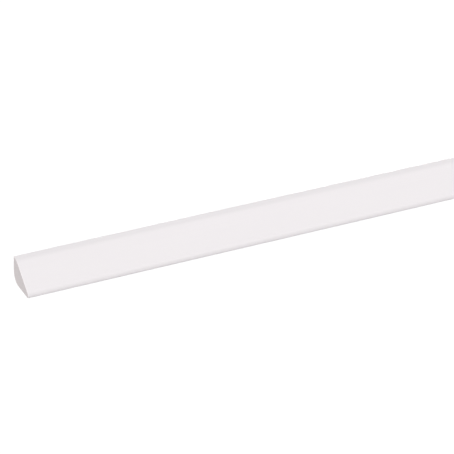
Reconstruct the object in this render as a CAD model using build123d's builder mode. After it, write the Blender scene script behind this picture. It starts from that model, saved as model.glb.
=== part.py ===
"""Glazing bead: one length of white foamed-PVC trim, extruded with a splayed show face.

The bead lies along X on its flat foot, as it sits on the sill of a window rebate.
Its back stands upright towards +Y, where the glass would be, and the splay faces -Y.
The origin is the middle of the bead's box, on the plane of the foot.
"""

import os
from math import cos, radians, tan

from build123d import *

# Driving dimensions, in millimetres and degrees
LENGTH = 2400.0  # stock length
DEPTH = 15.0  # back face to toe
HEIGHT = 12.0  # foot to the top of the back edge
BEVEL_WIDTH = 3.3  # narrow top face, from the back to the shoulder
BEVEL_ANGLE = 15.5  # fall of the top face towards the front
TOE_HEIGHT = 1.9  # upright front edge, from the foot to the splay
ARRIS_RADIUS = 0.3  # edge between the back and the top face
SHOULDER_RADIUS = 5.0  # eases the top face into the splay
TOE_RADIUS = 2.3  # rolls the splay over into the toe
FOOT_RADIUS = 0.4  # edge between the toe and the foot
HEEL_RADIUS = 5.0  # relieves the corner that faces into the rebate

# The section's corners before they are rounded, as (Y, Z)
back_y = DEPTH / 2
toe_y = -DEPTH / 2
bevel_slope = tan(radians(BEVEL_ANGLE))
# The rounded arris is the highest point, so its sharp corner stands a little above HEIGHT
arris_rise = ARRIS_RADIUS * (bevel_slope + 1 / cos(radians(BEVEL_ANGLE)) - 1)
arris_z = HEIGHT + arris_rise
heel_corner = (back_y, 0)
arris_corner = (back_y, arris_z)
shoulder_corner = (back_y - BEVEL_WIDTH, arris_z - BEVEL_WIDTH * bevel_slope)
toe_corner = (toe_y, TOE_HEIGHT)
foot_corner = (toe_y, 0)

with BuildPart() as bead:
    with BuildSketch(Plane.YZ.offset(-LENGTH / 2)):
        with BuildLine():
            FilletPolyline(
                heel_corner,
                arris_corner,
                shoulder_corner,
                toe_corner,
                foot_corner,
                radius=(HEEL_RADIUS, ARRIS_RADIUS, SHOULDER_RADIUS, TOE_RADIUS, FOOT_RADIUS),
                close=True,
            )
        make_face()
    extrude(amount=LENGTH)
bead.part.label = "glazing_bead"

os.makedirs("parts", exist_ok=True)
export_step(bead.part, "parts/glazing_bead.step")
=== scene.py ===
from math import cos, degrees, pi, radians, sin, tan

import bpy
from mathutils import Matrix, Vector


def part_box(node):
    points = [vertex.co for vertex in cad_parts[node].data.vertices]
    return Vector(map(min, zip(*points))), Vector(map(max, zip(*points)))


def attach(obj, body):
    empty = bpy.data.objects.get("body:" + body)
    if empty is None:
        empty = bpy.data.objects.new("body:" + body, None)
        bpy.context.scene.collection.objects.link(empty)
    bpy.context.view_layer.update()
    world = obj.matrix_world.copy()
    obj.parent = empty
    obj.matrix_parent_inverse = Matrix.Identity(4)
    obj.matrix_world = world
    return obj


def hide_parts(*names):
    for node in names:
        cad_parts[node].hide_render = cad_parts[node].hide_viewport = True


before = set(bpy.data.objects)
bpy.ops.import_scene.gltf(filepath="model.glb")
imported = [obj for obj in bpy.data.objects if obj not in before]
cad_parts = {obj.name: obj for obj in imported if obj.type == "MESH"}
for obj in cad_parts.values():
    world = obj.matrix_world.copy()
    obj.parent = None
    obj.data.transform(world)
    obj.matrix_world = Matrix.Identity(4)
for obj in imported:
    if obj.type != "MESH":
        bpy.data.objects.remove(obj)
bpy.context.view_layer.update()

# Lengths are in metres, angles in degrees and colours linear
MM = 0.001
WHITE = (1, 1, 1, 1)
NODE = "glazing_bead"
BEAD_LOW, BEAD_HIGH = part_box(NODE)
NEAR_END = BEAD_LOW.x
FAR_END = BEAD_HIGH.x
MIDDLE = (NEAR_END + FAR_END) / 2
LENGTH = FAR_END - NEAR_END
DEPTH = BEAD_HIGH.y - BEAD_LOW.y

# Section of the bead, as in the CAD part; its depth and height come from the frame
BEVEL_WIDTH = 3.3 * MM
BEVEL_ANGLE = 15.5
TOE_HEIGHT = 1.9 * MM
ARRIS_RADIUS = 0.3 * MM
SHOULDER_RADIUS = 5.0 * MM
TOE_RADIUS = 2.3 * MM
FOOT_RADIUS = 0.4 * MM
HEEL_RADIUS = 5.0 * MM

# Sawn ends: a slightly ragged eased edge, and the shallow arcs that a circular saw leaves
EASE = 0.1 * MM
EASE_WAVES = ((7, 0.15), (15, 0.10), (26, 0.10))  # how many go round, and each one's swing
EASE_CLEAR = 0.6 * MM  # where the sides run true again behind the eased edge
SAW_CENTRE = Vector((-30 * MM, -105 * MM))  # the blade's axis, in Y and Z
SAW_PITCH = 1.1 * MM
SAW_DEPTH = 0.03 * MM
SAW_BEAT = 3.7 * MM  # from one deep group of arcs to the next
SAW_BEAT_LEAST = 0.2  # share of the depth that is left between them
SAW_FADE = 0.4 * MM  # the arcs die out this far from the edge

# Mesh density; an arc is stepped by its turn or by its length, whichever gives fewer steps
ARC_TURN = 5.0
ARC_STEP = 0.12 * MM
FLAT_STEP = 0.5 * MM
LEAST_STEPS = 2
STRIPS = 7
SEGMENTS_PER_STRIP = 4
CAP_RINGS = 36
EASE_STEPS = 3

# Map for the surface detail: the bead cut into strips, stacked, with the two ends above them,
# enlarged because their grain is finer
ATLAS_NAME = "OFBake"
ATLAS_SIZE = 350 * MM
ATLAS_GAP = 1.5 * MM
ATLAS_END_SCALE = 2
STRIP_LENGTH = LENGTH / STRIPS

# Camera, placed from the near end's foot; lens and sensor are in millimetres
CAMERA_PLACE = Vector((-0.3043, -0.7358, 0.5059))
CAMERA_AIM = Vector((0.1006, 0.0112, -0.0001))
CAMERA_ROLL = 2.623
CAMERA_LENS = 181.98
SENSOR_WIDTH = 36.0
CLIP_START = 0.01
CLIP_END = 200.0

# Light, where 1 in all shows a colour as it is written: a key by the camera, a fill behind
WORLD_LEVEL = 0.34
KEY_LEVEL = 0.73
KEY_AZIMUTH = -35.0
KEY_ELEVATION = 39.0
KEY_SPREAD = 25.0
FILL_LEVEL = 0.4
FILL_AZIMUTH = 150.0
FILL_ELEVATION = 8.0
FILL_SPREAD = 14.0
FLOOR_SIZE = 120.0
FLOOR_DROP = 0.02 * MM  # keeps the floor and the foot out of one plane
FLOOR_COLOUR = (0.34, 0.34, 0.34)
FLOOR_LIFT = 0.78  # glow that brings the floor up to white, for the eye alone

# Textures: their scales are in features per metre along X, Y and Z
NOISE_DETAIL = 2.0
NOISE_RANGE = (0.3, 0.7)  # most of a noise lies between these

# Finish of the extruded skin
SKIN_PALE = (0.897, 0.863, 0.878)
SKIN_DEEP = (0.889, 0.855, 0.870)
SKIN_ROUGHNESS = (0.38, 0.48)
CLOUDS = (14, 90, 90)
DIE_LINES = (3, 1100, 1100)
DIE_LINES_DETAIL = 3.0
DIE_LINES_DEPTH = 0.05 * MM
FINE_LINES = (12, 3600, 3600)
FINE_LINES_DEPTH = 0.07 * MM
GRAIN = (1500, 2600, 2600)
GRAIN_DEPTH = 0.008 * MM

# Finish of the sawn ends
SAWN_PALE = (0.919, 0.857, 0.859)
# Painted shade: the colour in the middle of each open cell, darker than its pale wall
SAWN_CELL_SHADE = (0.857, 0.799, 0.802)
SAWN_ROUGHNESS = 0.75
CELLS = (4000, 4000, 4000)
CELL_SHADE_RANGE = (0.05, 0.4)  # painted shade from the middle of a cell out to its pale wall, in cells
CELLS_DEPTH = 0.02 * MM
SCRATCHES = 4000  # to the metre, outwards from the blade's axis
SCRATCHES_DETAIL = 3.0
SCRATCHES_DEPTH = 0.012 * MM

# The bead's materials, by their place in its list
SKIN = 0
SAWN = 1


def corner_arc(before, corner, after, radius):
    """(point, outward normal) pairs round one corner of an anticlockwise outline."""
    along = (corner - before).normalized()
    outward = Vector((along.y, -along.x))
    turn = along.angle(after - corner)
    centre = corner - along * radius * tan(turn / 2) - outward * radius
    by_turn = degrees(turn) / ARC_TURN
    by_length = radius * turn / ARC_STEP
    steps = max(LEAST_STEPS, round(min(by_turn, by_length)))
    arc = []
    for step in range(steps + 1):
        angle = turn * step / steps
        normal = outward * cos(angle) + along * sin(angle)
        arc.append((centre + normal * radius, normal))
    return arc


def flat(start, end):
    """Points between the ends of a flat, which the arcs on each side already hold."""
    (first, normal), (last, _) = start, end
    steps = max(LEAST_STEPS, round((last - first).length / FLAT_STEP))
    return [(first.lerp(last, step / steps), normal) for step in range(1, steps)]


def section_outline():
    """The bead's section as (point, normal) pairs in Y and Z, from the heel round by the back."""
    back = BEAD_HIGH.y
    toe = BEAD_LOW.y
    slope = tan(radians(BEVEL_ANGLE))
    arris_rise = ARRIS_RADIUS * (slope + 1 / cos(radians(BEVEL_ANGLE)) - 1)
    arris_top = BEAD_HIGH.z + arris_rise
    corners = [
        (Vector((back, 0)), HEEL_RADIUS),
        (Vector((back, arris_top)), ARRIS_RADIUS),
        (Vector((back - BEVEL_WIDTH, arris_top - BEVEL_WIDTH * slope)), SHOULDER_RADIUS),
        (Vector((toe, TOE_HEIGHT)), TOE_RADIUS),
        (Vector((toe, 0)), FOOT_RADIUS),
    ]
    arcs = []
    for i, (corner, radius) in enumerate(corners):
        before, _ = corners[i - 1]
        after, _ = corners[(i + 1) % len(corners)]
        arcs.append(corner_arc(before, corner, after, radius))
    outline = []
    for this, following in zip(arcs, arcs[1:] + arcs[:1]):
        outline += this + flat(this[-1], following[0])
    return outline


def around_outline(outline):
    """Distance round the outline to each point, and back to the first one."""
    around = [0.0]
    for (point, _), (following, _) in zip(outline, outline[1:] + outline[:1]):
        around.append(around[-1] + (following - point).length)
    return around


def wave(place, pitch):
    """A wave between 0 and 1."""
    return 0.5 + 0.5 * sin(2 * pi * place / pitch)


def saw_relief(point):
    """How far the saw's arcs cut into the end at a point of the section."""
    reach = (point - SAW_CENTRE).length
    beat = SAW_BEAT_LEAST + (1 - SAW_BEAT_LEAST) * wave(reach, SAW_BEAT)
    return SAW_DEPTH * wave(reach, SAW_PITCH) * beat


def ragged_ease(share):
    """Width of the eased edge at a share of the way round the outline."""
    turn = 2 * pi * share
    raggedness = sum(swing * sin(waves * turn + waves) for waves, swing in EASE_WAVES)
    return EASE * (1 + raggedness)


def sawn_rings(rim, core, end, inward):
    """Rings of a sawn face from its core out to its rim, with the saw's arcs cut in."""
    rings = []
    for step in range(1, CAP_RINGS + 1):
        ring = []
        for edge in rim:
            point = core.lerp(edge, step / CAP_RINGS)
            fade = min(1.0, (edge - point).length / SAW_FADE)
            ring.append((end + inward * fade * saw_relief(point), point.x, point.y))
        rings.append(ring)
    return rings


def eased_rings(outline, eases, end, inward):
    """Rings of an eased edge, from the sawn face round to the sides."""
    rings = []
    for step in range(1, EASE_STEPS + 1):
        turn = radians(90 * step / EASE_STEPS)
        ring = []
        for (edge, normal), ease in zip(outline, eases):
            point = edge - normal * ease * (1 - sin(turn))
            ring.append((end + inward * ease * (1 - cos(turn)), point.x, point.y))
        rings.append(ring)
    return rings


def sawn_end(outline, around, end, inward):
    """The middle of one sawn end, and its rings out to where the eased edge meets the sides."""
    eases = [ragged_ease(reach / around[-1]) for reach in around[:-1]]
    rim = [point - normal * ease for (point, normal), ease in zip(outline, eases)]
    core = sum(rim, Vector((0, 0))) / len(rim)
    middle = (end + inward * saw_relief(core), core.x, core.y)
    return middle, sawn_rings(rim, core, end, inward) + eased_rings(outline, eases, end, inward)


def side_rings(outline):
    """Rings along the sides, from behind one eased edge to behind the other."""
    segments = STRIPS * SEGMENTS_PER_STRIP
    between = [NEAR_END + LENGTH * step / segments for step in range(1, segments)]
    stations = [NEAR_END + EASE_CLEAR, *between, FAR_END - EASE_CLEAR]
    return [[(x, point.x, point.y) for point, _ in outline] for x in stations]


def atlas_place(across, up):
    """A place on the map, as shares of its size, half a gap in from its edges."""
    return ((ATLAS_GAP / 2 + across) / ATLAS_SIZE, (ATLAS_GAP / 2 + up) / ATLAS_SIZE)


def end_places(corners, perimeter):
    """Where the corners of a face of a sawn end lie on the map: above the strips, side by side."""
    places = []
    for x, y, z in corners:
        if x < MIDDLE:
            across = ATLAS_END_SCALE * (BEAD_HIGH.y - y)
        else:
            across = ATLAS_END_SCALE * (DEPTH + y - BEAD_LOW.y) + ATLAS_GAP
        up = STRIPS * (perimeter + ATLAS_GAP) + ATLAS_END_SCALE * z
        places.append(atlas_place(across, up))
    return places


def side_places(corners, start, end, perimeter):
    """Where the corners of a face of the sides lie on the map, in the strip that holds the face.

    Start and end are the distances round the outline to the face's two long edges.
    """
    middle = (corners[0][0] + corners[2][0]) / 2
    strip = int((middle - NEAR_END) / STRIP_LENGTH)
    places = []
    for (x, _, _), reach in zip(corners, (start, end, end, start)):
        along = x - NEAR_END - strip * STRIP_LENGTH
        up = strip * (perimeter + ATLAS_GAP) + perimeter - reach
        places.append(atlas_place(along, up))
    return places


def atlas_places(vertices, faces, slots, around):
    """Where each corner of each face lies on the map."""
    count = len(around) - 1
    places = []
    for number, (face, slot) in enumerate(zip(faces, slots)):
        corners = [vertices[v] for v in face]
        if slot == SAWN:
            places += end_places(corners, around[-1])
        else:
            i = number % count
            places += side_places(corners, around[i], around[i + 1], around[-1])
    return places


def ring_faces(count, rings):
    """Faces over rings of count vertices each: a fan from the first vertex, bands, a last fan."""
    steps = [(i, (i + 1) % count) for i in range(count)]
    last_ring = 1 + (rings - 1) * count
    last = last_ring + count
    faces = [(0, 1 + j, 1 + i) for i, j in steps]
    for here in range(1, last_ring, count):
        there = here + count
        faces += [(here + i, here + j, there + j, there + i) for i, j in steps]
    faces += [(last, last_ring + i, last_ring + j) for i, j in steps]
    return faces


def bead_mesh():
    """One closed mesh: rings from the middle of the near end, along the bead, to the far middle."""
    outline = section_outline()
    around = around_outline(outline)
    near_middle, near_rings = sawn_end(outline, around, NEAR_END, 1)
    far_middle, far_rings = sawn_end(outline, around, FAR_END, -1)
    sides = side_rings(outline)
    rings = near_rings + sides + far_rings[::-1]
    vertices = [near_middle] + [place for ring in rings for place in ring] + [far_middle]
    count = len(outline)
    faces = ring_faces(count, len(rings))

    # An end's fan and the bands between its own rings are sawn, and the bands between are skin
    near_slots = [SAWN] * count * len(near_rings)
    side_slots = [SKIN] * count * (len(sides) + 1)
    far_slots = [SAWN] * count * len(far_rings)
    slots = near_slots + side_slots + far_slots
    places = atlas_places(vertices, faces, slots, around)

    mesh = bpy.data.meshes.new("bead")
    mesh.from_pydata(vertices, [], faces)
    mesh.polygons.foreach_set("use_smooth", [True] * len(faces))
    mesh.polygons.foreach_set("material_index", slots)
    layer = mesh.uv_layers.new(name=ATLAS_NAME)
    layer.data.foreach_set("uv", [share for place in places for share in place])
    mesh.update()
    return mesh


def feed(tree, node, inputs):
    """Set each input of a node to a value, or link it to a socket."""
    for name, value in inputs.items():
        if isinstance(value, bpy.types.NodeSocket):
            tree.links.new(value, node.inputs[name])
        else:
            node.inputs[name].default_value = value


def add(tree, kind, inputs, **settings):
    """A new node with its settings and inputs."""
    node = tree.nodes.new(kind)
    for name, value in settings.items():
        setattr(node, name, value)
    feed(tree, node, inputs)
    return node


def new_material(name):
    """A material with only a Principled shader, its node tree and that shader."""
    material = bpy.data.materials.new(name)
    material.use_nodes = True
    return material, material.node_tree, material.node_tree.nodes["Principled BSDF"]


def mapped(tree, inputs):
    """Object coordinates, in metres, moved and scaled by the inputs of a Mapping node."""
    place = add(tree, "ShaderNodeTexCoord", {}).outputs["Object"]
    return add(tree, "ShaderNodeMapping", {"Vector": place, **inputs}).outputs["Vector"]


def noise(tree, per_metre, detail=NOISE_DETAIL):
    """Noise about 0.5, with so many features to the metre along each axis."""
    vector = mapped(tree, {"Scale": per_metre})
    inputs = {"Vector": vector, "Scale": 1.0, "Detail": detail}
    return add(tree, "ShaderNodeTexNoise", inputs).outputs["Fac"]


def colour_range(tree, factor, limits, low, high):
    """A colour from low to high, as a factor goes from its lower limit to its upper one."""
    node = add(tree, "ShaderNodeValToRGB", {"Fac": factor})
    for stop, limit, colour in zip(node.color_ramp.elements, limits, (low, high)):
        stop.position = limit
        stop.color = (*colour, 1)
    return node.outputs["Color"]


def value_range(tree, factor, limits, low, high):
    """A value from low to high, as a factor goes from its lower limit to its upper one."""
    start, end = limits
    inputs = {"Value": factor, "From Min": start, "From Max": end, "To Min": low, "To Max": high}
    return add(tree, "ShaderNodeMapRange", inputs).outputs["Result"]


def relief(tree, layers):
    """A normal bent by (height, depth) layers, each on top of the one before."""
    normal = None
    for height, depth in layers:
        node = add(tree, "ShaderNodeBump", {"Height": height, "Strength": 1.0, "Distance": depth})
        if normal:
            feed(tree, node, {"Normal": normal})
        normal = node.outputs["Normal"]
    return normal


def skin_material():
    """Extruded skin: satin white, with faint lines from the die along the length."""
    material, tree, shader = new_material("white_pvc_skin")
    die_lines = noise(tree, DIE_LINES, DIE_LINES_DETAIL)
    fine_lines = noise(tree, FINE_LINES)
    clouds = noise(tree, CLOUDS)
    grain = noise(tree, GRAIN)
    layers = [
        (die_lines, DIE_LINES_DEPTH),
        (fine_lines, FINE_LINES_DEPTH),
        (grain, GRAIN_DEPTH),
    ]
    finish = {
        "Base Color": colour_range(tree, clouds, NOISE_RANGE, SKIN_DEEP, SKIN_PALE),
        "Roughness": value_range(tree, die_lines, NOISE_RANGE, *SKIN_ROUGHNESS),
        "Normal": relief(tree, layers),
    }
    feed(tree, shader, finish)
    return material


def open_cells(tree):
    """Distance from the middle of each fine cell of the foam, in cells."""
    inputs = {"Vector": mapped(tree, {"Scale": CELLS}), "Scale": 1.0}
    return add(tree, "ShaderNodeTexVoronoi", inputs).outputs["Distance"]


def saw_scratches(tree):
    """Noise that changes only with the distance from the blade's axis."""
    to_axis = {"Location": (0, -SAW_CENTRE.x, -SAW_CENTRE.y), "Scale": (0, 1, 1)}
    from_axis = mapped(tree, to_axis)
    reach = add(tree, "ShaderNodeVectorMath", {0: from_axis}, operation="LENGTH").outputs["Value"]
    inputs = {"W": reach, "Scale": SCRATCHES, "Detail": SCRATCHES_DETAIL}
    return add(tree, "ShaderNodeTexNoise", inputs, noise_dimensions="1D").outputs["Fac"]


def sawn_material():
    """Sawn end: the same plastic without its skin, matt, with open cells and saw scratches; painted
    shade darkens the middle of each cell.
    """
    material, tree, shader = new_material("white_pvc_sawn")
    cells = open_cells(tree)
    layers = [(cells, CELLS_DEPTH), (saw_scratches(tree), SCRATCHES_DEPTH)]
    finish = {
        # Painted shade: darker towards the middle of each open cell
        "Base Color": colour_range(tree, cells, CELL_SHADE_RANGE, SAWN_CELL_SHADE, SAWN_PALE),
        "Roughness": SAWN_ROUGHNESS,
        "Normal": relief(tree, layers),
    }
    feed(tree, shader, finish)
    return material


def seen_directly(tree):
    """1 for rays that the eye follows, straight, mirrored or through glass, and 0 for the rest."""
    path = add(tree, "ShaderNodeLightPath", {}).outputs
    seen = path["Is Camera Ray"]
    for kind in ("Is Glossy Ray", "Is Transmission Ray"):
        either = {0: seen, 1: path[kind]}
        seen = add(tree, "ShaderNodeMath", either, operation="ADD", use_clamp=True).outputs[0]
    return seen


def place_object(name, data):
    """A new object in the scene."""
    item = bpy.data.objects.new(name, data)
    bpy.context.scene.collection.objects.link(item)
    return item


def white_world():
    """A white room to look at, and an even fill to be lit by."""
    world = bpy.data.worlds.new("studio")
    world.use_nodes = True
    tree = world.node_tree
    levels = {"Value": seen_directly(tree), "To Min": WORLD_LEVEL, "To Max": 1.0}
    strength = add(tree, "ShaderNodeMapRange", levels).outputs["Result"]
    feed(tree, tree.nodes["Background"], {"Color": WHITE, "Strength": strength})
    bpy.context.scene.world = world


def white_floor():
    """A floor that shows white, takes the bead's shadow and reflects little light back up."""
    half = FLOOR_SIZE / 2
    corners = [(-half, -half), (half, -half), (half, half), (-half, half)]
    mesh = bpy.data.meshes.new("floor")
    mesh.from_pydata([(x, y, -FLOOR_DROP) for x, y in corners], [], [(0, 1, 2, 3)])
    floor = place_object("floor", mesh)
    material, tree, shader = new_material("floor_white")
    lift = {0: seen_directly(tree), 1: FLOOR_LIFT}
    finish = {
        "Base Color": (*FLOOR_COLOUR, 1),
        "Roughness": 1.0,
        "Specular IOR Level": 0.0,
        "Emission Color": WHITE,
        "Emission Strength": add(tree, "ShaderNodeMath", lift, operation="MULTIPLY").outputs[0],
    }
    feed(tree, shader, finish)
    mesh.materials.append(material)


def soft_light(name, level, azimuth, elevation, spread):
    """A broad lamp far away, even all along the bead; azimuth 0 is in front of it."""
    lamp = bpy.data.lights.new(name, "SUN")
    lamp.energy = level * pi
    lamp.angle = radians(spread)
    light = place_object(name, lamp)
    turn = radians(azimuth)
    rise = radians(elevation)
    towards = Vector((sin(turn) * cos(rise), -cos(turn) * cos(rise), sin(rise)))
    light.rotation_mode = "QUATERNION"
    light.rotation_quaternion = towards.to_track_quat("Z", "Y")


def photo_camera():
    """The photo's view of the near end."""
    data = bpy.data.cameras.new("camera")
    data.sensor_width = SENSOR_WIDTH
    data.lens = CAMERA_LENS
    data.clip_start = CLIP_START
    data.clip_end = CLIP_END
    camera = place_object("camera", data)
    near_foot = Vector((NEAR_END, 0, 0))
    place = near_foot + CAMERA_PLACE
    aim = (near_foot + CAMERA_AIM - place).to_track_quat("-Z", "Y").to_matrix()
    roll = Matrix.Rotation(radians(CAMERA_ROLL), 3, "Z")
    camera.matrix_world = Matrix.Translation(place) @ (aim @ roll).to_4x4()
    bpy.context.scene.camera = camera


bead = place_object("bead", bead_mesh())
bead.data.materials.append(skin_material())
bead.data.materials.append(sawn_material())
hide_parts(NODE)
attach(bead, "root")

white_world()
white_floor()
soft_light("key", KEY_LEVEL, KEY_AZIMUTH, KEY_ELEVATION, KEY_SPREAD)
soft_light("fill", FILL_LEVEL, FILL_AZIMUTH, FILL_ELEVATION, FILL_SPREAD)
photo_camera()
bpy.context.scene.view_settings.view_transform = "Standard"
